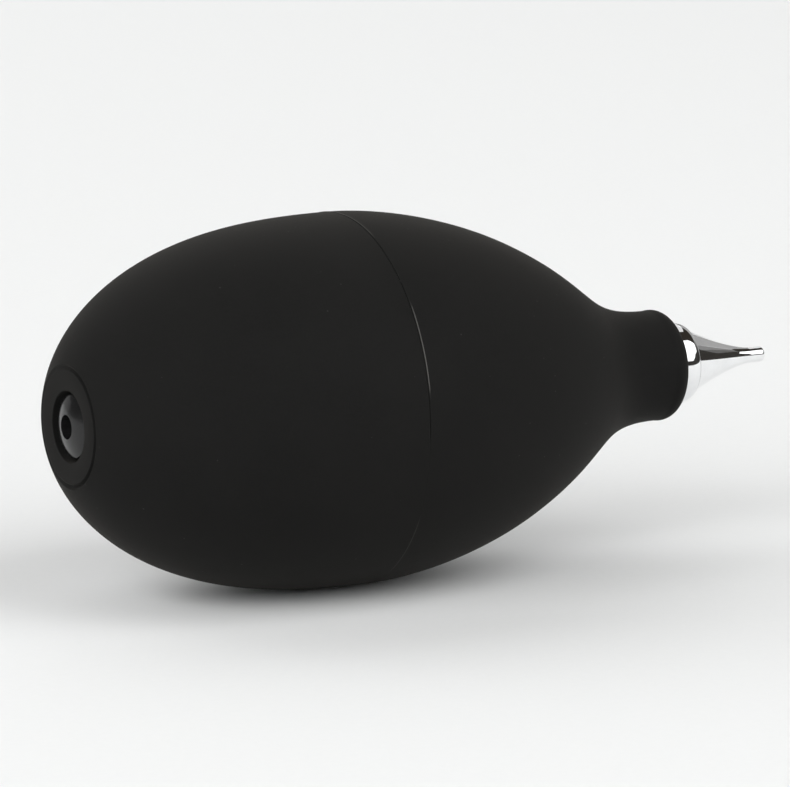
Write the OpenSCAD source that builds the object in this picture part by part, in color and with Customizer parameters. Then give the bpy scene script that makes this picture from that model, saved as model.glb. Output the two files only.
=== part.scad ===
// Hand blower for dust: a rubber bulb with an inlet valve at the back and a
// screw-in metal jet at the front. Every piece is turned about one long axis.
// The model lies on its side: +X points along the axis to the jet, +Z is up,
// and the bulb's widest circle touches z = 0.
// "Station" means distance along the axis from that widest circle, + forward.

/* [Bulb] */
// Diameter at the widest circle
bulb_d = 50; // [48:0.5:54]
// Station of the flat back end, counted backwards
back_len = 41; // [40.7:0.1:41.4]
// Station of the neck's front end
neck_len = 50; // [49.4:0.1:52]
// Thickness of the rubber wall
wall = 2.8; // [2.2:0.1:3.2]
// Distance of the bonded seam behind the widest circle
seam_back = 0.8; // [0.2:0.1:1.2]
// Length of the overlapping step in the seam
seam_step = 2.4; // [1.5:0.1:4]

/* [Bulb outline] */
// Length scale of the blunt rear curve
rear_reach = 42.9; // [42.7:0.1:43.3]
// Bluntness of the rear curve, where 2 is an ellipse
rear_power = 2.53; // [2.4:0.01:2.6]
// Length scale of the front curve
front_reach = 39.8; // [39:0.1:41]
// Fullness of the front curve, where 2 is an ellipse
front_power = 1.73; // [1.65:0.01:1.85]
// Station where the front curve turns into the sweep to the neck
sweep_start = 24; // [22:0.5:26]
// Station of the neck's waist
waist_at = 47.2; // [46:0.1:47.6]
// Radius of the neck's waist
waist_r = 7.57; // [7.3:0.01:8]
// Radius of the collar in front of the waist
collar_r = 7.64; // [7.4:0.01:8.2]
// Rounding radius of the neck's front lip
lip_r = 1.9; // [1.2:0.1:2]

/* [Rear end] */
// Centre radius of the shallow groove round the flat back end
groove_r = 7.85; // [7.5:0.05:8]
// Width of that groove
groove_w = 0.7; // [0.4:0.1:0.8]
// Depth of that groove
groove_d = 0.35; // [0.2:0.05:0.5]
// Radius of the opening in the rubber
mouth_r = 4.75; // [4.7:0.05:5]
// Depth of the opening's wide part
mouth_depth = 1.9; // [1.6:0.1:2.4]
// Station of the inside face of the thick rear end, counted backwards
seat_back = 35.6; // [35:0.1:36]

/* [Inlet valve] */
// Radius of the valve body where the rubber grips it
plug_r = 4.2; // [4:0.05:4.25]
// How far the dome stands out of the flat back end
dome_proud = 0.4; // [0:0.05:0.5]
// Height of the dome over its rim
dome_h = 0.95; // [0.5:0.05:1.2]
// Radius of the inlet hole
inlet_r = 1.6; // [1:0.05:2]
// Free lift of the valve disc
disc_lift = 1; // [0.5:0.1:1.2]
// Thickness of the valve disc
disc_t = 0.6; // [0.4:0.1:0.8]
// Number of spokes in the cage
spokes = 3; // [3:1:5]

/* [Nozzle] */
// Length of the ferrule in front of the neck
ferrule_out = 2.8; // [2.4:0.1:3.4]
// Outside radius of the ferrule
ferrule_r = 5.55; // [5.5:0.05:5.65]
// Length of the ferrule's rounded front edge
shoulder_len = 1.6; // [0.8:0.1:2]
// How far that edge draws the ferrule in
shoulder_drop = 0.6; // [0.4:0.05:0.6]
// Radius of the jet's flare at its foot
flare_r = 4.65; // [4.4:0.05:4.8]
// Length of the jet in front of the neck
jet_out = 15.8; // [15:0.1:18]
// Outside radius of the jet's straight tip
tip_r = 1.05; // [1:0.05:1.3]
// Length of the straight tip
tip_len = 2.3; // [1.5:0.1:3]
// Radius of the air hole in the tip
orifice_r = 0.5; // [0.3:0.05:0.6]
// How quickly the flare narrows, where 1 is a straight cone
flare_power = 1.4; // [1.2:0.05:1.8]
// Radius of the jet's threaded stem
stem_r = 3; // [2.8:0.05:3]
// Length of thread in engagement
thread_len = 4.4; // [4.2:0.1:6]

/* [Hidden] */

turn_fn = 96;                 // roundness of every turned shape
curve_steps = 20;             // points along each long curve
round_steps = 6;              // points along each small rounding
gap = 0.03;                   // clearance between pieces that move
bulb_r = bulb_d / 2;

// The whole blower is centred on x = 0
rearmost = back_len + dome_proud;
foremost = neck_len + jet_out;
middle = (foremost - rearmost) / 2;

// Seam
seam_at = -seam_back;
step_at = seam_at - seam_step;
step_r = bulb_r - wall / 2;

// Inside of the bulb
inner_r = bulb_r - wall;
end_thickening = 1.8;         // wall at the far rear end, as a multiple of wall
front_thinning = 0.75;        // the same for the front curve
inner_rear_reach = rear_reach - end_thickening * wall;
inner_front_reach = front_reach - front_thinning * wall;
neck_bore_r = 4.5;
neck_bore_start = 41;

// Curve handles, as shares of a sweep's length
outer_handles = [0.586, 0.457];
inner_handles = [0.6, 0.35];
collar_handle = 0.4;

// Inlet valve
ridge_r = plug_r + 0.4;       // snap ridge that stops the plug sinking in
ridge_len = 0.4;
flange_r = 6.5;
flange_t = 1.4;
floor_at = flange_t - seat_back;
seat_h = 0.4;                 // raised ring that the disc closes on
seat_r = inlet_r + 0.8;
skirt_r = 6;
skirt_bore_r = 4.9;
disc_r = 4.1;
disc_at = floor_at + seat_h + gap;
cage_at = disc_at + disc_t + disc_lift + gap;
cage_ring_t = 0.9;
cage_rim_t = 0.6;
cage_ring_r = 3.9;            // inside radius of the cage's ring
cage_hub_r = 1.2;
spoke_w = 1;
skirt_end = cage_at + cage_ring_t;

// Nozzle
ferrule_sunk = 1.5;           // length of the ferrule's collar inside the neck
ferrule_face = neck_len + ferrule_out;
shank_r = neck_bore_r;
barb_h = 0.35;                // how far each barb bites into the rubber
barb_len = 2.4;
barbs = 3;
shank_end = neck_len - ferrule_sunk - barbs * barb_len - 1.6;
thread_bore_r = stem_r + gap;
throat_r = 3.3;               // air way through the ferrule behind the thread
ring_section_r = 0.45;        // half the o-ring's thickness
ring_r = stem_r + gap + ring_section_r;
recess_r = ring_r + ring_section_r + gap;
recess_d = 2 * ring_section_r + gap;
jet_face = ferrule_face + gap;
foot_edge = 0.1;              // small chamfer round the jet's foot
foot_r = flare_r + foot_edge;
stem_end = ferrule_face - recess_d - thread_len;
stem_bore_r = 1.9;
orifice_len = 5;              // length of the small hole behind the tip
tip_round = tip_r - orifice_r - 0.05;
tip_start = foremost - tip_len;

// Radius of the blunt rear curve at station s, for a given size of curve
function rear_r(s, size_r, reach) = size_r * sqrt(1 - pow(abs(s) / reach, rear_power));

// Radius of the front curve at station s
function front_r(s, size_r, reach) = size_r * sqrt(1 - pow(s / reach, front_power));

// Slope of the front curve at station s
function front_slope(s, size_r, reach) =
  -size_r * front_power * pow(s / reach, front_power - 1)
  / (2 * reach * sqrt(1 - pow(s / reach, front_power)));

// Station where the rear curve has radius r
function rear_station(r, size_r, reach) =
  -reach * pow(1 - pow(r / size_r, 2), 1 / rear_power);

// Points [radius, station] up the rear curve, from radius r0 to station s1
function rear_curve(r0, s1, size_r, reach) =
  let (a0 = asin(r0 / size_r), a1 = asin(rear_r(s1, size_r, reach) / size_r))
  [for (i = [0:curve_steps])
    let (r = size_r * sin(a0 + (a1 - a0) * i / curve_steps))
    [r, i == curve_steps ? s1 : rear_station(r, size_r, reach)]];

// Points [radius, station] on a sweep between two points with given slopes
function sweep(from, slope, to, handles) =
  let (
    len = to[1] - from[1],
    b = from + [slope, 1] * len * handles[0],
    c = to - [0, 1] * len * handles[1]
  )
  [for (i = [1:curve_steps])
    let (t = i / curve_steps, u = 1 - t)
    from * u * u * u + b * 3 * u * u * t + c * 3 * u * t * t + to * t * t * t];

// Points [radius, station] from the widest circle to the end of a sweep
function front_curve(size_r, reach, to, handles) =
  let (start_r = front_r(sweep_start, size_r, reach))
  concat(
    [for (i = [1:curve_steps])
      let (s = sweep_start * i / curve_steps) [front_r(s, size_r, reach), s]],
    sweep([start_r, sweep_start], front_slope(sweep_start, size_r, reach), to, handles)
  );

function reversed(list) = [for (i = [len(list) - 1:-1:0]) list[i]];

// Turns an outline of [radius, station] points about the long axis
module turned(outline) {
  translate([-middle, 0, bulb_r])
    rotate([0, 90, 0])
      rotate_extrude($fn = turn_fn) polygon(outline);
}

// Places children, drawn about +Z, on the long axis at a station
module at_station(s) {
  translate([s - middle, 0, bulb_r]) rotate([0, 90, 0]) children();
}

// Rear half of the rubber shell, with the thick end that grips the valve
module bulb_rear_half() {
  groove_in = groove_r - groove_w / 2;
  groove_out = groove_r + groove_w / 2;
  grip_r = plug_r + gap;
  edge = 0.25;
  outside = rear_curve(groove_out, seam_at, bulb_r, rear_reach);
  inside = rear_curve(
    sqrt(1 - pow(seat_back / inner_rear_reach, rear_power)) * inner_r,
    step_at, inner_r, inner_rear_reach);
  color("#2b2a29") turned(concat(
    [
      [grip_r, mouth_depth - back_len],
      [mouth_r, mouth_depth - back_len],
      [mouth_r, edge - back_len],
      [mouth_r + edge, -back_len],
      [groove_in, -back_len],
      [groove_r, groove_d - back_len]
    ],
    outside,
    [[step_r, seam_at], [step_r, step_at]],
    reversed(inside),
    [[grip_r, -seat_back]]
  ));
}

// Front half of the rubber shell, with the neck that holds the ferrule
module bulb_front_half() {
  lip_start = neck_len - lip_r;
  outside = concat(
    front_curve(bulb_r, front_reach, [waist_r, waist_at], outer_handles),
    sweep([waist_r, waist_at], 0, [collar_r, lip_start], [collar_handle, collar_handle]),
    [for (i = [1:round_steps])
      let (a = 90 * i / round_steps)
      [collar_r - lip_r * (1 - cos(a)), lip_start + lip_r * sin(a)]]
  );
  inside = front_curve(inner_r, inner_front_reach,
    [neck_bore_r, neck_bore_start], inner_handles);
  color("#2b2a29") turned(concat(
    [
      [rear_r(step_at, inner_r, inner_rear_reach), step_at],
      [step_r, step_at],
      [step_r, seam_at],
      [rear_r(seam_at, bulb_r, rear_reach), seam_at],
      [bulb_r, 0]
    ],
    outside,
    [
      [ferrule_r, neck_len],
      [ferrule_r, neck_len - ferrule_sunk],
      [neck_bore_r, neck_len - ferrule_sunk]
    ],
    reversed(inside),
    [[inner_r, 0]]
  ));
}

// Hard plastic plug: dome with the inlet hole, grip, flange, seat and skirt
module valve_body() {
  dome_rim = -rearmost + dome_h;
  dome_curve_r = (plug_r * plug_r + dome_h * dome_h) / (2 * dome_h);
  hole_a = asin(inlet_r / dome_curve_r);
  rim_a = asin(plug_r / dome_curve_r);
  ridge_at = mouth_depth - back_len - gap;
  color("#3a3a3b") turned(concat(
    [for (i = [0:round_steps])
      let (a = hole_a + (rim_a - hole_a) * i / round_steps)
      [dome_curve_r * sin(a), -rearmost + dome_curve_r * (1 - cos(a))]],
    [
      [plug_r, ridge_at - ridge_len],
      [ridge_r, ridge_at],
      [plug_r, ridge_at],
      [plug_r, -seat_back + gap],
      [flange_r, -seat_back + gap],
      [flange_r, floor_at],
      [skirt_r, floor_at],
      [skirt_r, skirt_end],
      [skirt_bore_r, skirt_end],
      [skirt_bore_r, floor_at],
      [seat_r, floor_at],
      [seat_r, floor_at + seat_h],
      [inlet_r, floor_at + seat_h]
    ]
  ));
}

// Silicone disc that floats in the cage and closes the inlet hole
module valve_disc() {
  color("#8f3d33") at_station(disc_at) cylinder(h = disc_t, r = disc_r, $fn = turn_fn);
}

// Spoked cage that snaps into the skirt and stops the disc
module valve_cage() {
  cage_t = cage_ring_t + cage_rim_t;
  color("#4a4a4c") at_station(cage_at) {
    difference() {
      union() {
        cylinder(h = cage_t, r = skirt_bore_r, $fn = turn_fn);
        translate([0, 0, cage_ring_t]) cylinder(h = cage_rim_t, r = skirt_r, $fn = turn_fn);
      }
      translate([0, 0, -1]) cylinder(h = cage_t + 2, r = cage_ring_r, $fn = turn_fn);
    }
    cylinder(h = cage_t, r = cage_hub_r, $fn = turn_fn);
    for (i = [0:spokes - 1])
      rotate([0, 0, i * 360 / spokes])
        translate([cage_hub_r / 2, -spoke_w / 2, 0])
          cube([cage_ring_r, spoke_w, cage_t]);
  }
}

// Chrome-plated aluminium ferrule with a barbed shank in the neck
module nozzle_ferrule() {
  collar_back = neck_len - ferrule_sunk;
  shoulder_at = ferrule_face - shoulder_len;
  nose = 0.6;
  color("#c9cccd") turned(concat(
    [
      [throat_r, shank_end],
      [shank_r - nose, shank_end],
      [shank_r, shank_end + 1]
    ],
    [for (i = [1:barbs])
      let (s = collar_back - (barbs - i + 1) * barb_len)
      each [[shank_r, s], [shank_r + barb_h, s + barb_len * 0.7], [shank_r, s + barb_len * 0.72]]],
    [
      [shank_r, collar_back],
      [ferrule_r, collar_back]
    ],
    [for (i = [0:round_steps])
      let (a = 90 * i / round_steps)
      [ferrule_r - shoulder_drop * (1 - cos(a)), shoulder_at + shoulder_len * sin(a)]],
    [
      [recess_r, ferrule_face],
      [recess_r, ferrule_face - recess_d],
      [thread_bore_r, ferrule_face - recess_d],
      [thread_bore_r, stem_end - gap],
      [throat_r, stem_end - gap]
    ]
  ));
}

// Trumpet-shaped jet with a threaded stem and a fine air hole
module nozzle_jet() {
  flare_at = jet_face + foot_edge;
  flare_len = tip_start - flare_at;
  color("#d6d9da") turned(concat(
    [
      [stem_bore_r, stem_end],
      [stem_r - 0.4, stem_end],
      [stem_r, stem_end + 0.4],
      [stem_r, jet_face],
      [foot_r, jet_face]
    ],
    [for (i = [0:curve_steps])
      [tip_r + (flare_r - tip_r) * pow(1 - i / curve_steps, flare_power),
       flare_at + flare_len * i / curve_steps]],
    [for (i = [0:round_steps])
      let (a = 90 * i / round_steps)
      [tip_r - tip_round * (1 - cos(a)), foremost - tip_round * (1 - sin(a))]],
    [
      [orifice_r, foremost],
      [orifice_r, foremost - orifice_len],
      [stem_bore_r, foremost - orifice_len - 3]
    ]
  ));
}

// Rubber ring round the stem, squeezed between the jet and the ferrule
module nozzle_o_ring() {
  color("#1d1d1f") at_station(ferrule_face - ring_section_r)
    rotate_extrude($fn = turn_fn) translate([ring_r, 0]) circle(r = ring_section_r, $fn = 32);
}

bulb_rear_half();
bulb_front_half();
valve_body();
valve_disc();
valve_cage();
nozzle_ferrule();
nozzle_jet();
nozzle_o_ring();
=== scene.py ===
"""Looks of a rubber dust blower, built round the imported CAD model.

Lengths inside the shape functions are in millimetres. "Station" is the distance
along the long axis from the bulb's widest circle, positive towards the nozzle.
"""
import math

import bmesh
import bpy
from mathutils import Matrix, Vector


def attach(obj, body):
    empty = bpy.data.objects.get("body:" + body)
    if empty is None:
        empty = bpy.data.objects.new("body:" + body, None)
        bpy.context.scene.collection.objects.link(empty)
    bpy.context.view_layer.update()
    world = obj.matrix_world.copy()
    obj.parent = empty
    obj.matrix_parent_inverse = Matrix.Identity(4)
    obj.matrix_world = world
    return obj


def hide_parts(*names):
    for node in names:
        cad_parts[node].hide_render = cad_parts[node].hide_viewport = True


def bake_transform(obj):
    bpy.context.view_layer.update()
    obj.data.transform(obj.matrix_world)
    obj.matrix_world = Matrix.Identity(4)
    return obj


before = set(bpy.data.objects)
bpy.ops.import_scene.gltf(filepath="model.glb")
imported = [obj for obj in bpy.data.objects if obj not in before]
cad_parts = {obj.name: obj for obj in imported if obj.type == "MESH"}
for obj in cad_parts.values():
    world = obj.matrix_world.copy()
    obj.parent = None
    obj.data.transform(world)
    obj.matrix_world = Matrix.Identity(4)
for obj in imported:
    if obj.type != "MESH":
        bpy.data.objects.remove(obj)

MM = 0.001
SEGMENTS = 192

# The CAD's own proportions, repeated so that the finer meshes follow it.
# The bulb: stations of its ends, its seam and the step under the seam.
AXIS_Z = 25.0
MIDDLE = 12.2
BULB_R = 25.0
WALL = 2.8
BACK = -41.0
NECK = 50.0
SEAM = -0.8
STEP = -3.2
STEP_R = 23.6
REAR_REACH, REAR_POWER = 42.9, 2.53
FRONT_REACH, FRONT_POWER = 39.8, 1.73
SWEEP_START = 24.0
WAIST = (7.57, 47.2)
COLLAR_R = 7.64
LIP_R = 1.9
OUTER_HANDLES, INNER_HANDLES, COLLAR_HANDLES = (0.586, 0.457), (0.6, 0.35), (0.4, 0.4)
INNER_R = BULB_R - WALL
INNER_REAR_REACH = REAR_REACH - 1.8 * WALL
INNER_FRONT_REACH = FRONT_REACH - 0.75 * WALL
NECK_BORE_R, NECK_BORE_START = 4.5, 41.0

# The valve: the mouth it sits in, its plug, and the stack behind its floor.
GAP = 0.03
MOUTH_R, MOUTH_DEPTH = 4.75, 1.9
GRIP_R = 4.23
SEAT = -35.6
PLUG_R = 4.2
INLET_R = 1.6
FLANGE_R, FLANGE_T = 6.5, 1.4
SKIRT_R, SKIRT_BORE_R = 6.0, 4.9
SEAT_RING_R, SEAT_RING_H = 2.4, 0.4
DISC_T, DISC_LIFT = 0.6, 1.0
CAGE_T = 0.9

# The nozzle: stations of the ferrule's face and the tip, then its bores and thread.
FACE = NECK + 2.8
TIP = NECK + 15.8
FERRULE_R, FERRULE_SUNK = 5.55, 1.5
SHOULDER_LENGTH, SHOULDER_DROP = 1.6, 0.6
BARBS, BARB_LENGTH, BARB_R = 3, 2.4, 4.85
THROAT_R = 3.3
RECESS_R, RECESS_DEPTH = 3.96, 0.93
BORE_R, STEM_R = 3.03, 3.0
THREAD_LENGTH = 4.4
JET_BORE_R, ORIFICE_R = 1.9, 0.5
FOOT_R, FLARE_R, TIP_R = 4.7, 4.65, 1.05
TIP_LENGTH, FLARE_POWER = 2.3, 1.4

# Ranges of radius that only the threaded stretches lie in, and the step between points.
BORE_BAND = (3.0, 3.06)
STEM_BAND = (2.9, 3.05)
THREAD_STEP = 0.05


# ---------------------------------------------------------------- outlines

def rear_radius(s, size, reach):
    """Radius of the rear half's curve at station s."""
    return size * math.sqrt(1 - (abs(s) / reach) ** REAR_POWER)


def rear_station(r, size, reach):
    """Station of the rear half's curve at radius r."""
    return -reach * (1 - (r / size) ** 2) ** (1 / REAR_POWER)


def front_radius(s, size, reach):
    """Radius of the front half's curve at station s."""
    return size * math.sqrt(1 - (s / reach) ** FRONT_POWER)


def front_slope(s, size, reach):
    """Change of that radius with the station."""
    power = (s / reach) ** FRONT_POWER
    return -size * FRONT_POWER * power / s / (2 * math.sqrt(1 - power))


def sweep(start, slope, end, handles, steps):
    """Points on a cubic sweep from start to end, both (radius, station)."""
    run = end[1] - start[1]
    a, d = Vector(start), Vector(end)
    b = a + Vector((slope, 1)) * run * handles[0]
    c = d - Vector((0, 1)) * run * handles[1]
    out = []
    for i in range(1, steps + 1):
        t = i / steps
        u = 1 - t
        out.append(tuple(a * u ** 3 + b * 3 * u * u * t + c * 3 * u * t * t + d * t ** 3))
    return out


def rear_curve(r0, s1, size, reach, steps):
    """Points up the rear curve from radius r0 to station s1."""
    a0 = math.asin(r0 / size)
    a1 = math.asin(rear_radius(s1, size, reach) / size)
    radii = [size * math.sin(a0 + (a1 - a0) * i / steps) for i in range(steps)]
    return [(r, rear_station(r, size, reach)) for r in radii] + [
        (rear_radius(s1, size, reach), s1)]


def front_curve(s0, size, reach, end, handles, steps):
    """Points from station s0 down the front curve to the end of its sweep."""
    stations = [s0 + (SWEEP_START - s0) * i / steps for i in range(steps + 1)]
    start_r = front_radius(SWEEP_START, size, reach)
    return [(front_radius(max(s, 0), size, reach), s) for s in stations] + sweep(
        (start_r, SWEEP_START), front_slope(SWEEP_START, size, reach), end, handles, steps)


def rounded(corners, steps=5):
    """An outline through corners of (radius, station, rounding)."""
    out = []
    for i, (r, s, rounding) in enumerate(corners):
        p = Vector((r, s))
        if not rounding:
            out.append((r, s))
            continue
        a = Vector(corners[i - 1][:2]) - p
        b = Vector(corners[(i + 1) % len(corners)][:2]) - p
        reach = min(rounding / math.tan(a.angle(b) / 2), 0.48 * a.length, 0.48 * b.length)
        p0, p1 = p + a.normalized() * reach, p + b.normalized() * reach
        for k in range(steps + 1):
            t = k / steps
            out.append(tuple(p0 * (1 - t) ** 2 + p * 2 * t * (1 - t) + p1 * t * t))
    return out


def plain(points):
    """Corners for rounded() that stay as they are."""
    return [(r, s, 0) for r, s in points]


# ---------------------------------------------------------------- meshes

def place(r, s, a):
    """The frame's point at a radius and station, at angle a from the top."""
    return ((s - MIDDLE) * MM, r * math.sin(a) * MM, (AXIS_Z + r * math.cos(a)) * MM)


def add_rest(mesh):
    """Keeps each vertex's rest position in mm, so that patterns bend with the rubber."""
    rest = mesh.attributes.new("rest", "FLOAT_VECTOR", "POINT")
    rest.data.foreach_set("vector", [c / MM for v in mesh.vertices for c in v.co])


def turned(name, outline, relief=None, marks=None, segments=SEGMENTS):
    """A closed outline of (radius, station) turned about the long axis.

    relief(radius, station, angle) gives changes of radius and station; marks gives a
    value kept on the mesh for its material. Corners over 30 degrees stay crisp.
    """
    n = len(outline)
    angles = [math.tau * k / segments for k in range(segments)]
    points = []
    for r, s in outline:
        for a in angles:
            out, along = relief(r, s, a) if relief else (0, 0)
            points.append(place(r + out, s + along, a))
    faces = []
    for i in range(n):
        j = (i + 1) % n
        for k in range(segments):
            m = (k + 1) % segments
            faces.append((i * segments + k, i * segments + m, j * segments + m, j * segments + k))
    mesh = bpy.data.meshes.new(name)
    mesh.from_pydata(points, [], faces)
    make_outward(mesh)
    mark_crisp(mesh, outline, segments)
    add_rest(mesh)
    if marks:
        layer = mesh.attributes.new("marks", "FLOAT", "POINT")
        layer.data.foreach_set("value", [marks(r, s, a) for r, s in outline for a in angles])
    obj = bpy.data.objects.new(name, mesh)
    bpy.context.scene.collection.objects.link(obj)
    return obj


def make_outward(mesh):
    """Faces outwards all round, shaded smooth."""
    edit = bmesh.new()
    edit.from_mesh(mesh)
    bmesh.ops.recalc_face_normals(edit, faces=edit.faces)
    edit.to_mesh(mesh)
    edit.free()
    for polygon in mesh.polygons:
        polygon.use_smooth = True


def mark_crisp(mesh, outline, segments):
    """Sharp edges along each outline corner over 30 degrees."""
    n = len(outline)
    crisp = set()
    for i in range(n):
        p = Vector(outline[i])
        before, after = p - Vector(outline[i - 1]), Vector(outline[(i + 1) % n]) - p
        if before.length > 0 and after.length > 0 and before.angle(after) > math.radians(30):
            crisp.add(i)
    for edge in mesh.edges:
        a, b = (v // segments for v in edge.vertices)
        edge.use_edge_sharp = a == b and a in crisp


# ---------------------------------------------------------------- the rubber bulb

# Where a bead of moulding flash stands up along the seam: first and last degree from the top, and
# the bead's strength at each, which also sets the painted highlight along the bead.
FLASH = ((-148, -118, 0.25, 0.15), (-79, -50, 1.0, 0.75),
         (-22, 40, 0.25, 1.0), (60, 100, 0.9, 0.7))
# Where the groove between the halves gapes, in degrees from the top.
OPEN = ((-96, 60), (100, 150))
SKIN_R = STEP_R + 0.5
BEAD_AT, BEAD_HALF_WIDTH, BEAD_HEIGHT = SEAM + 0.2, 0.13, 0.1
VEE_HALF_WIDTH, VEE_DEPTH = 0.1, 0.12


def degrees_from_top(a):
    """Angle a in degrees, from -180 to 180."""
    return (math.degrees(a) + 180) % 360 - 180


def seam_flash(a):
    """How far the seam's flash stands up at angle a, from 0 to 1."""
    d = degrees_from_top(a)
    best = 0
    for low, high, start, end in FLASH:
        edge = min(1, max(0, min(d - low, high - d) / 3))
        best = max(best, edge * (start + (end - start) * (d - low) / (high - low)))
    return best * (0.88 + 0.12 * math.sin(7 * a + 1) * math.sin(23 * a))


def seam_open(a):
    """How deep the groove along the seam is at angle a, from nearly closed to 1."""
    d = degrees_from_top(a)
    return max([0.15] + [min(1, (d - low) / 6, (high - d) / 6) for low, high in OPEN])


def bead_shape(s):
    """Height across the bead, from 0 at its edges to 1 on its crest."""
    across = abs(s - BEAD_AT) / BEAD_HALF_WIDTH
    return math.cos(across * math.pi / 2) ** 2 if across < 1 else 0


def seam_relief(r, s, a):
    """The bead and the partly closed groove, kept inside the bulb's own box."""
    if r < SKIN_R or abs(s - SEAM) > 0.5:
        return 0, 0
    groove = max(0, 1 - abs(s - SEAM) / VEE_HALF_WIDTH)
    lift = (BEAD_HEIGHT * bead_shape(s) * seam_flash(a)
            + VEE_DEPTH * groove * (1 - seam_open(a)))
    off_square = (math.degrees(a) + 45) % 90 - 45
    room = BULB_R / math.cos(math.radians(off_square)) - r
    return min(lift, max(0, room)), 0


def seam_flash_and_highlight(r, s, a):
    """How glossy and pale the rubber is, which is only along the bead; the paler colour is partly
    the flash's own and partly a painted highlight.
    """
    return bead_shape(s) * seam_flash(a) if r > SKIN_R else 0


def seam_rim(side):
    """Outline points of the shallow vee between the halves, from the seam outwards."""
    out = []
    for share in (0, 0.3, 0.65, 1):
        s = SEAM + side * VEE_HALF_WIDTH * share
        out.append((rear_radius(min(s, 0), BULB_R, REAR_REACH) - VEE_DEPTH * (1 - share), s))
    return out


def rear_relief(r, s, a):
    """The seam, and the ring groove of the rear end fading out on its far side."""
    ring_inner, ring_outer = 7.4, 8.2
    if s > BACK + 0.5 or r < ring_inner:
        return seam_relief(r, s, a)
    worn = min(0.92, max(0, 0.45 + 1.3 * math.sin(a)))
    return 0, min(0, BACK - s) * worn if r < ring_outer else 0


def rear_half_outline():
    """From the mouth, over the ring groove and the outside to the seam, and back inside."""
    shoulder = BACK + MOUTH_DEPTH
    mouth = [(GRIP_R, shoulder, 0.05), (MOUTH_R + GAP, shoulder, 0.1), (MOUTH_R, BACK, 0.13)]
    groove = [(7.46, 0), (7.56, 0.04), (7.62, 0.17), (7.7, 0.4), (7.82, 0.5), (7.95, 0.46),
              (8.07, 0.3), (8.15, 0.13), (8.24, 0.04)]
    outer = rear_curve(8.29, SEAM - VEE_HALF_WIDTH, BULB_R, REAR_REACH, 110)
    inner = rear_curve(
        math.sqrt(1 - (abs(SEAT) / INNER_REAR_REACH) ** REAR_POWER) * INNER_R,
        STEP, INNER_R, INNER_REAR_REACH, 40)
    return rounded(
        mouth + plain([(r, BACK + deep) for r, deep in groove] + outer[:-1]
                       + seam_rim(-1)[::-1])
        + [(STEP_R, SEAM, 0), (STEP_R, STEP, 0)]
        + plain(inner[::-1]) + [(GRIP_R, SEAT, 0.1)])


def front_half_outline():
    """From the seam over the outside, the collar and the lip, and back inside."""
    seam = seam_rim(1)
    near = [SEAM + 0.07 + 0.02 * i for i in range(2, 14)]  # close rings for the bead
    outer = [(rear_radius(min(s, 0), BULB_R, REAR_REACH), s) for s in near]
    outer += [(BULB_R, 0)] + front_curve(0.4, BULB_R, FRONT_REACH, WAIST, OUTER_HANDLES, 90)
    lip_start = NECK - LIP_R
    outer += sweep(WAIST, 0, (COLLAR_R, lip_start), COLLAR_HANDLES, 10)
    for i in range(1, 13):
        a = math.pi / 2 * i / 12
        outer.append((COLLAR_R - LIP_R * (1 - math.cos(a)), lip_start + LIP_R * math.sin(a)))
    inner = front_curve(0, INNER_R, INNER_FRONT_REACH, (NECK_BORE_R, NECK_BORE_START),
                        INNER_HANDLES, 30)
    sunk = NECK - FERRULE_SUNK
    return rounded(
        [(rear_radius(STEP, INNER_R, INNER_REAR_REACH), STEP, 0),
         (STEP_R, STEP, 0), (STEP_R, SEAM, 0)]
        + plain(seam + outer)
        + [(FERRULE_R, NECK, 0.12), (FERRULE_R, sunk, 0), (NECK_BORE_R, sunk, 0)]
        + plain(inner[::-1]))


def make_bulb(rubber):
    """The rubber halves: the rear one gives way between the seam's step and the valve."""
    rear = turned("bulb_rear_skin", rear_half_outline(), rear_relief)
    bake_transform(rear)
    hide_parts("bulb_rear_half")
    front = turned("bulb_front_skin", front_half_outline(), seam_relief, seam_flash_and_highlight)
    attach(front, "bulb")
    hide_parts("bulb_front_half")
    for piece in (rear, front):
        piece.data.materials.append(rubber)


# ---------------------------------------------------------------- the inlet valve

def plug_outline():
    """The domed plug with its inlet, snap ridge, flange, skirt and raised seat ring."""
    dome_h, rear = 0.95, BACK - 0.4
    curve_r = (PLUG_R ** 2 + dome_h ** 2) / (2 * dome_h)
    hole, rim = math.asin(INLET_R / curve_r), math.asin(PLUG_R / curve_r)
    dome = []
    for i in range(25):
        a = hole + (rim - hole) * i / 24
        dome.append((curve_r * math.sin(a), rear + curve_r * (1 - math.cos(a))))
    ridge_r, ridge_end = PLUG_R + 0.4, BACK + MOUTH_DEPTH - GAP
    flange_at, floor_at = SEAT + GAP, SEAT + FLANGE_T
    ring_top = floor_at + SEAT_RING_H
    skirt_end = ring_top + DISC_T + DISC_LIFT + 2 * GAP + CAGE_T
    return rounded(
        [(*dome[0], 0.12)] + plain(dome[1:-1]) + [(*dome[-1], 0.15)]
        + [(PLUG_R, ridge_end - 0.4, 0), (ridge_r, ridge_end, 0.05), (PLUG_R, ridge_end, 0),
           (PLUG_R, flange_at, 0.08), (FLANGE_R, flange_at, 0.15), (FLANGE_R, floor_at, 0.15),
           (SKIRT_R, floor_at, 0.08), (SKIRT_R, skirt_end, 0.1), (SKIRT_BORE_R, skirt_end, 0.08),
           (SKIRT_BORE_R, floor_at, 0.1), (SEAT_RING_R, floor_at, 0.06),
           (SEAT_RING_R, ring_top, 0.08), (INLET_R, ring_top, 0.08)])


def make_valve(plastic, silicone, cage_plastic):
    """A finer plug, and the CAD's own disc and cage behind it."""
    plug = turned("valve_plug", plug_outline(), segments=128)
    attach(plug, "valve")
    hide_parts("valve_body")
    plug.data.materials.append(plastic)
    dress("valve_disc", silicone)
    dress("valve_cage", cage_plastic)


# ---------------------------------------------------------------- the nozzle

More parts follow.
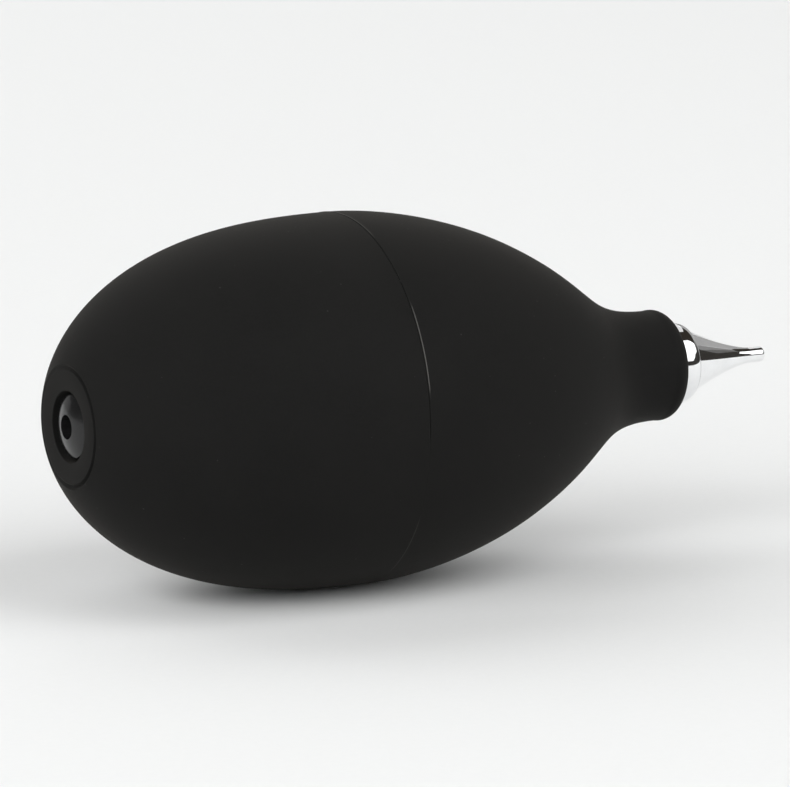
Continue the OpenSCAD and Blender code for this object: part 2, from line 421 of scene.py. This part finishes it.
def thread_depth(s, a, pitch=1.0):
    """From 0 at a thread's crest to 1 at its root, for a right-hand thread."""
    phase = (s / pitch - (math.pi / 2 - a) / math.tau) % 1
    ramp = abs(phase - 0.5) * 2
    return min(1, max(0, (ramp - 0.15) / 0.6))


def stem_relief(start, end):
    """The thread cut into the jet's stem, fading out at both ends."""
    def relief(r, s, a):
        if not STEM_BAND[0] < r < STEM_BAND[1] or s > end:
            return 0, 0
        fade = min(1, max(0, (end - s) / 0.5)) * min(1, max(0, (s - start) / 0.3))
        return -0.45 * thread_depth(s, a) * fade, 0
    return relief


def bore_relief(start, end):
    """The thread cut into the ferrule's bore, fading out at both ends."""
    def relief(r, s, a):
        if not BORE_BAND[0] < r < BORE_BAND[1] or not start < s < end:
            return 0, 0
        fade = min(1, (end - s) / 0.4, (s - start) / 0.4)
        return 0.4 * (1 - thread_depth(s, a)) * max(0, fade), 0
    return relief


def ferrule_outline():
    """The barbed shank, the collar with its rounded shoulder, the recess and the bore."""
    collar = NECK - FERRULE_SUNK
    shank_end = collar - BARBS * BARB_LENGTH - 1.6
    out = [(THROAT_R, shank_end, 0.05), (3.9, shank_end, 0.1), (NECK_BORE_R, shank_end + 1, 0.2)]
    for i in range(BARBS):
        s = collar - (BARBS - i) * BARB_LENGTH
        out += [(NECK_BORE_R, s, 0), (BARB_R, s + 1.68, 0.03), (NECK_BORE_R, s + 1.73, 0)]
    out += [(NECK_BORE_R, collar, 0.03), (FERRULE_R, collar, 0.05)]
    for i in range(15):
        a = math.pi / 2 * i / 14
        out.append((FERRULE_R - SHOULDER_DROP * (1 - math.cos(a)),
                    FACE - SHOULDER_LENGTH * (1 - math.sin(a)), 0))
    recess_floor = FACE - RECESS_DEPTH
    bore_end = recess_floor - THREAD_LENGTH - GAP
    out += [(RECESS_R, FACE, 0.06), (RECESS_R, recess_floor, 0.06), (BORE_R, recess_floor, 0.1),
            (BORE_R, bore_end, 0.1), (THROAT_R, bore_end, 0)]
    return divided_where(rounded(out), BORE_BAND, THREAD_STEP)


def divided_where(points, band, longest):
    """Adds points only along the stretch whose radius lies in the band."""
    low, high = band
    out = []
    for p, q in zip(points, points[1:] + points[:1]):
        inside = low < p[0] < high and low < q[0] < high
        n = math.ceil(math.dist(p, q) / longest) if inside else 1
        out += [(p[0] + (q[0] - p[0]) * k / n, p[1] + (q[1] - p[1]) * k / n)
                for k in range(max(1, n))]
    return out


def jet_outline():
    """The threaded stem, the foot, the flare down to the tip, and the air way back."""
    face = FACE + GAP
    flare_at, tip_start = face + 0.1, TIP - TIP_LENGTH
    stem_end = FACE - RECESS_DEPTH - THREAD_LENGTH
    out = [(JET_BORE_R, stem_end, 0.1), (STEM_R - 0.4, stem_end, 0),
           (STEM_R, stem_end + 0.4, 0), (STEM_R, face, 0.05), (FOOT_R, face, 0.02)]
    for i in range(61):
        t = i / 60
        out.append((TIP_R + (FLARE_R - TIP_R) * (1 - t) ** FLARE_POWER,
                    flare_at + (tip_start - flare_at) * t, 0))
    end_r = 0.5
    for i in range(13):
        a = math.pi / 2 * i / 12
        out.append((TIP_R - end_r * (1 - math.cos(a)), TIP - end_r * (1 - math.sin(a)), 0))
    out += [(ORIFICE_R, TIP, 0.04), (ORIFICE_R, TIP - 5, 0), (JET_BORE_R, TIP - 8, 0)]
    return divided_where(rounded(out), STEM_BAND, THREAD_STEP)


def make_nozzle(chrome, ring_rubber):
    """The plated ferrule and jet, and the CAD's own sealing ring between them."""
    thread_end = FACE - RECESS_DEPTH - THREAD_LENGTH
    ferrule = turned("ferrule", ferrule_outline(), bore_relief(thread_end - GAP, FACE - 1.0))
    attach(ferrule, "bulb")
    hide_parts("nozzle_ferrule")
    jet = turned("jet", jet_outline(), stem_relief(thread_end, FACE - 0.6))
    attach(jet, "jet")
    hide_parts("nozzle_jet")
    for piece in (ferrule, jet):
        piece.data.materials.append(chrome)
    dress("nozzle_o_ring", ring_rubber)


def dress(node, material):
    """Gives a carried-over CAD node its material and its rest positions."""
    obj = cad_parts[node]
    add_rest(obj.data)
    obj.data.materials.clear()
    obj.data.materials.append(material)


# ---------------------------------------------------------------- materials

class Tree:
    """A material's node tree, with short helpers for building it."""

    def __init__(self, name, on_rest=True):
        self.material = bpy.data.materials.new(name)
        self.material.use_nodes = True
        self.tree = self.material.node_tree
        self.shader = self.tree.nodes["Principled BSDF"]
        if on_rest:
            self.where = self.add("ShaderNodeAttribute", attribute_name="rest").outputs["Vector"]
        else:
            self.where = self.add("ShaderNodeTexCoord").outputs["Object"]

    def add(self, kind, **settings):
        node = self.tree.nodes.new(kind)
        for key, value in settings.items():
            setattr(node, key, value)
        return node

    def link(self, a, b):
        self.tree.links.new(a, b)

    def set(self, **sockets):
        for key, value in sockets.items():
            self.shader.inputs[key.replace("_", " ")].default_value = value

    def noise(self, scale, detail=2, roughness=0.5, stretch=(1, 1, 1)):
        """Noise over the surface; on the rest position its scale is in features per mm."""
        vector = self.where
        if stretch != (1, 1, 1):
            mapping = self.add("ShaderNodeMapping")
            mapping.inputs["Scale"].default_value = stretch
            self.link(self.where, mapping.inputs["Vector"])
            vector = mapping.outputs["Vector"]
        node = self.add("ShaderNodeTexNoise")
        node.inputs["Scale"].default_value = scale
        node.inputs["Detail"].default_value = detail
        node.inputs["Roughness"].default_value = roughness
        self.link(vector, node.inputs["Vector"])
        return node.outputs["Fac"]

    def remap(self, value, low, high, to_low, to_high):
        node = self.add("ShaderNodeMapRange")
        for key, number in zip(("From Min", "From Max", "To Min", "To Max"),
                               (low, high, to_low, to_high)):
            node.inputs[key].default_value = number
        self.link(value, node.inputs["Value"])
        return node.outputs["Result"]

    def math(self, operation, a, b):
        node = self.add("ShaderNodeMath", operation=operation)
        for socket, value in zip(node.inputs, (a, b)):
            if isinstance(value, (int, float)):
                socket.default_value = value
            else:
                self.link(value, socket)
        return node.outputs["Value"]

    def mix(self, factor, a, b):
        """A colour between a and b."""
        node = self.add("ShaderNodeMix", data_type="RGBA")
        for key, value in (("Factor", factor), ("A", a), ("B", b)):
            socket = next(s for s in node.inputs
                          if s.name == key and s.type == ("VALUE" if key == "Factor" else "RGBA"))
            if isinstance(value, tuple):
                socket.default_value = (*value, 1)
            else:
                self.link(value, socket)
        return next(s for s in node.outputs if s.type == "RGBA")

    def bump(self, height, strength, distance_mm, under=None):
        node = self.add("ShaderNodeBump")
        node.inputs["Strength"].default_value = strength
        node.inputs["Distance"].default_value = distance_mm * MM
        self.link(height, node.inputs["Height"])
        if under:
            self.link(under, node.inputs["Normal"])
        return node.outputs["Normal"]

    def specks(self, scale, size, share):
        """Sparse small round specks, as a mask. Share is how many cells have one."""
        cells = self.add("ShaderNodeTexVoronoi")
        cells.inputs["Scale"].default_value = scale
        self.link(self.where, cells.inputs["Vector"])
        near = self.remap(cells.outputs["Distance"], size * 0.5, size, 1, 0)
        pick = self.add("ShaderNodeSeparateColor")
        self.link(cells.outputs["Color"], pick.inputs["Color"])
        chosen = self.math("LESS_THAN", pick.outputs["Red"], share)
        return self.math("MULTIPLY", near, chosen)

    def marks(self):
        return self.add("ShaderNodeAttribute", attribute_name="marks").outputs["Fac"]


def rubber_material():
    """Matte black soft-touch rubber with a fine moulded grain, dust and a glossier seam, whose
    paler colour is partly a painted highlight.
    """
    t = Tree("bulb_rubber")
    clouds = t.noise(0.08, 4)
    grain = t.noise(3.2, 3, 0.6)
    dust = t.specks(0.6, 0.08, 0.2)
    base = t.mix(t.remap(clouds, 0.3, 0.7, 0, 1),
                 (0.0066, 0.0066, 0.0064), (0.0090, 0.0089, 0.0086))
    base = t.mix(t.remap(grain, 0.35, 0.65, 0, 0.35), base, (0.0120, 0.0119, 0.0115))
    base = t.mix(t.math("MULTIPLY", dust, 0.35), base, (0.07, 0.07, 0.067))
    # Partly painted highlight: along the seam's bead the colour turns pale grey, partly the
    # flash's own paler rubber and partly a highlight painted where the seam catches the light.
    base = t.mix(t.math("MULTIPLY", t.marks(), 0.9), base, (0.13, 0.128, 0.122))
    t.link(base, t.shader.inputs["Base Color"])
    rough = t.math("ADD", t.remap(clouds, 0.3, 0.7, 0.72, 0.82),
                   t.remap(grain, 0.3, 0.7, -0.04, 0.04))
    rough = t.math("SUBTRACT", rough, t.math("MULTIPLY", t.marks(), 0.45))
    t.link(rough, t.shader.inputs["Roughness"])
    t.link(t.bump(grain, 0.35, 0.02), t.shader.inputs["Normal"])
    t.set(Specular_IOR_Level=0.075, Sheen_Weight=0.03, Sheen_Roughness=0.45,
          Sheen_Tint=(1.0, 0.93, 0.82, 1))
    return t.material


def chrome_material():
    """Bright chrome plating with turning marks, handling haze and painted shade darkening the
    crease between ferrule and jet.
    """
    t = Tree("plated_metal")
    haze = t.noise(0.5, 4, 0.6)
    rings = t.noise(9, 2, 0.5, stretch=(1, 0.02, 0.02))
    plate = t.mix(t.remap(haze, 0.35, 0.7, 0, 1), (0.93, 0.935, 0.94), (0.88, 0.885, 0.895))
    along = t.add("ShaderNodeSeparateXYZ")
    t.link(t.where, along.inputs["Vector"])
    # Painted shade: the base colour turns near black within a quarter millimetre of the crease
    # where the jet meets the ferrule, standing in for the shade there.
    from_crease = t.math("ABSOLUTE", t.math("SUBTRACT", along.outputs["X"], FACE - MIDDLE), 0)
    crease_shade = t.remap(from_crease, 0.09, 0.26, 0.96, 0)
    t.link(t.mix(crease_shade, plate, (0.03, 0.029, 0.027)), t.shader.inputs["Base Color"])
    t.link(t.remap(haze, 0.3, 0.75, 0.03, 0.075), t.shader.inputs["Roughness"])
    t.link(t.bump(rings, 0.06, 0.01), t.shader.inputs["Normal"])
    t.set(Metallic=1.0)
    return t.material


def plastic_material(name, dark, light, roughness, specular=0.5):
    """Moulded plastic: faint flow clouds and fine texture."""
    t = Tree(name)
    clouds = t.noise(0.35, 3)
    fine = t.noise(5, 3, 0.6)
    base = t.mix(t.remap(clouds, 0.3, 0.7, 0, 1), dark, light)
    t.link(base, t.shader.inputs["Base Color"])
    t.link(t.math("ADD", t.remap(clouds, 0.3, 0.7, roughness - 0.04, roughness + 0.04),
                  t.remap(fine, 0.3, 0.7, -0.03, 0.03)), t.shader.inputs["Roughness"])
    t.link(t.bump(fine, 0.15, 0.01), t.shader.inputs["Normal"])
    t.set(Specular_IOR_Level=specular)
    return t.material


def silicone_material():
    """Red silicone sheet: slightly cloudy and satin, with a fine texture."""
    t = Tree("disc_silicone")
    clouds = t.noise(0.8, 3)
    fine = t.noise(6, 2)
    t.link(t.mix(t.remap(clouds, 0.3, 0.7, 0, 1), (0.27, 0.045, 0.028), (0.36, 0.07, 0.045)),
           t.shader.inputs["Base Color"])
    t.link(t.remap(fine, 0.3, 0.7, 0.38, 0.5), t.shader.inputs["Roughness"])
    t.link(t.bump(fine, 0.1, 0.01), t.shader.inputs["Normal"])
    return t.material


# ---------------------------------------------------------------- studio

def floor_material():
    """Plain pale paper with a faint grain."""
    t = Tree("floor_paper", on_rest=False)
    t.link(t.mix(t.noise(900), (0.80, 0.81, 0.81), (0.82, 0.828, 0.828)),
           t.shader.inputs["Base Color"])
    t.set(Roughness=0.95, Specular_IOR_Level=0.0)
    return t.material


def make_floor():
    """A pale floor that curves up into a low rim all round."""
    flat, rim_r, rim_h = 1.9, 0.5, 0.42
    profile = [0.0, 0.3, 0.7, 1.2, flat]
    rings = [(r, 0.0) for r in profile]
    for i in range(1, 13):
        a = math.pi / 2 * i / 12
        rings.append((flat + rim_r * math.sin(a), rim_h * (1 - math.cos(a))))
    edit = bmesh.new()
    count = 96
    rows = []
    for r, z in rings:
        if r == 0:
            rows.append([edit.verts.new((0, 0, 0))])
        else:
            rows.append([edit.verts.new((r * math.cos(math.tau * k / count),
                                         r * math.sin(math.tau * k / count), z))
                         for k in range(count)])
    for inner, outer in zip(rows, rows[1:]):
        for k in range(count):
            m = (k + 1) % count
            if len(inner) == 1:
                edit.faces.new((inner[0], outer[k], outer[m]))
            else:
                edit.faces.new((inner[k], outer[k], outer[m], inner[m]))
    mesh = bpy.data.meshes.new("floor")
    edit.to_mesh(mesh)
    edit.free()
    for polygon in mesh.polygons:
        polygon.use_smooth = True
    mesh.materials.append(floor_material())
    floor = bpy.data.objects.new("floor", mesh)
    bpy.context.scene.collection.objects.link(floor)


def soft_light(name, centre, facing, size, lit, mirrored):
    """A rectangular light by its brightness on matte surfaces and in reflections."""
    for use, radiance in (("lit", lit), ("mirrored", mirrored)):
        if not radiance:
            continue
        data = bpy.data.lights.new(name + "_" + use, "AREA")
        data.shape = "RECTANGLE"
        data.size, data.size_y = size
        data.energy = radiance * math.pi * size[0] * size[1]
        light = bpy.data.objects.new(data.name, data)
        bpy.context.scene.collection.objects.link(light)
        in_front = 0.01 if use == "mirrored" else 0
        light.location = Vector(centre) + Vector(facing).normalized() * in_front
        light.rotation_euler = (-Vector(facing)).to_track_quat("Z", "Y").to_euler()
        light.visible_diffuse = use == "lit"
        light.visible_glossy = use == "mirrored"
        light.visible_camera = False


def make_flag(name, start, end, low, high):
    """A dark curved card that only shiny surfaces show, between two bearings in degrees."""
    radius, steps = 1.85, 24
    bearings = [math.radians(start + (end - start) * i / steps) for i in range(steps + 1)]
    points = [(radius * math.cos(a), radius * math.sin(a), z)
              for z in (low, high) for a in bearings]
    n = steps + 1
    faces = [(i, i + 1, n + i + 1, n + i) for i in range(steps)]
    mesh = bpy.data.meshes.new(name)
    mesh.from_pydata(points, [], faces)
    cloth = bpy.data.materials.new(name + "_cloth")
    cloth.use_nodes = True
    shader = cloth.node_tree.nodes["Principled BSDF"]
    shader.inputs["Base Color"].default_value = (0.02, 0.018, 0.015, 1)
    shader.inputs["Roughness"].default_value = 1.0
    mesh.materials.append(cloth)
    flag = bpy.data.objects.new(name, mesh)
    bpy.context.scene.collection.objects.link(flag)
    flag.visible_camera = flag.visible_diffuse = flag.visible_shadow = False


def make_lights():
    """Each light's place, direction and size in metres, then how it lights and mirrors."""
    soft_light("front_softbox", (1.15, -0.95, 0.95), (0, 1, -1), (2.1, 1.6), 2.45, 1.7)
    soft_light("front_left_fill", (-1.2, -1.4, 1.0), (1, 1.2, -0.7), (1.6, 1.2), 1.45, 0)
    soft_light("back_glow", (0.12, 1.05, 1.0), (0, -1, -0.9), (1.9, 1.5), 1.25, 0.76)
    soft_light("back_left_fill", (-1.3, 1.2, 1.2), (1, -1, -0.9), (1.6, 1.2), 1.68, 0)
    soft_light("side_glow", (1.6, 0.95, 0.75), (-1, -0.6, -0.35), (1.3, 0.9), 0.35, 0.36)
    soft_light("nose_glow_near", (1.65, 0.2, 0.8), (-1, 0, -0.4), (0.3, 0.5), 0, 0.22)
    soft_light("nose_glow_far", (1.65, -0.1, 0.8), (-1, 0, -0.4), (0.3, 0.5), 0, 0.1)
    soft_light("left_fill", (-1.5, -0.5, 0.9), (1, 0.33, -0.55), (1.4, 1.2), 4.1, 2.8)
    world = bpy.data.worlds.new("studio")
    bpy.context.scene.world = world
    world.use_nodes = True
    background = world.node_tree.nodes["Background"]
    background.inputs["Color"].default_value = (0.032, 0.028, 0.023, 1)
    background.inputs["Strength"].default_value = 1.0


def make_camera():
    """A long lens from the rear left, a little above the axis."""
    azimuth, elevation = math.radians(-28.823), math.radians(11.325)
    back = Vector((math.sin(azimuth) * math.cos(elevation),
                   -math.cos(azimuth) * math.cos(elevation), math.sin(elevation)))
    level = Vector((math.cos(azimuth), math.sin(azimuth), 0))
    right = Matrix.Rotation(math.radians(0.13), 3, back) @ level
    up = back.cross(right)
    data = bpy.data.cameras.new("camera")
    data.sensor_width = 36
    data.lens = 274.0
    camera = bpy.data.objects.new("camera", data)
    bpy.context.scene.collection.objects.link(camera)
    turn = Matrix((right, up, back)).transposed().to_4x4()
    aim, distance, sideways, upwards = Vector((-0.017916, 0, 0.025)), 0.801, 0.011719, 0.001095
    turn.translation = aim + back * distance + right * sideways + up * upwards
    camera.matrix_world = turn
    bpy.context.scene.camera = camera


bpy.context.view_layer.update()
make_camera()
make_bulb(rubber_material())
make_valve(
    plastic_material("valve_plastic", (0.007, 0.007, 0.0072), (0.011, 0.011, 0.0112), 0.18, 0.33),
    silicone_material(),
    plastic_material("cage_plastic", (0.045, 0.045, 0.048), (0.06, 0.06, 0.064), 0.4))
make_nozzle(
    chrome_material(),
    plastic_material("ring_rubber", (0.008, 0.008, 0.009), (0.014, 0.014, 0.014), 0.5))
make_floor()
make_flag("front_flag", -105, 10, 0.05, 0.8)
make_flag("rear_flag", 125, 175, 0.0, 0.8)
make_lights()
bpy.context.scene.view_settings.view_transform = "Standard"
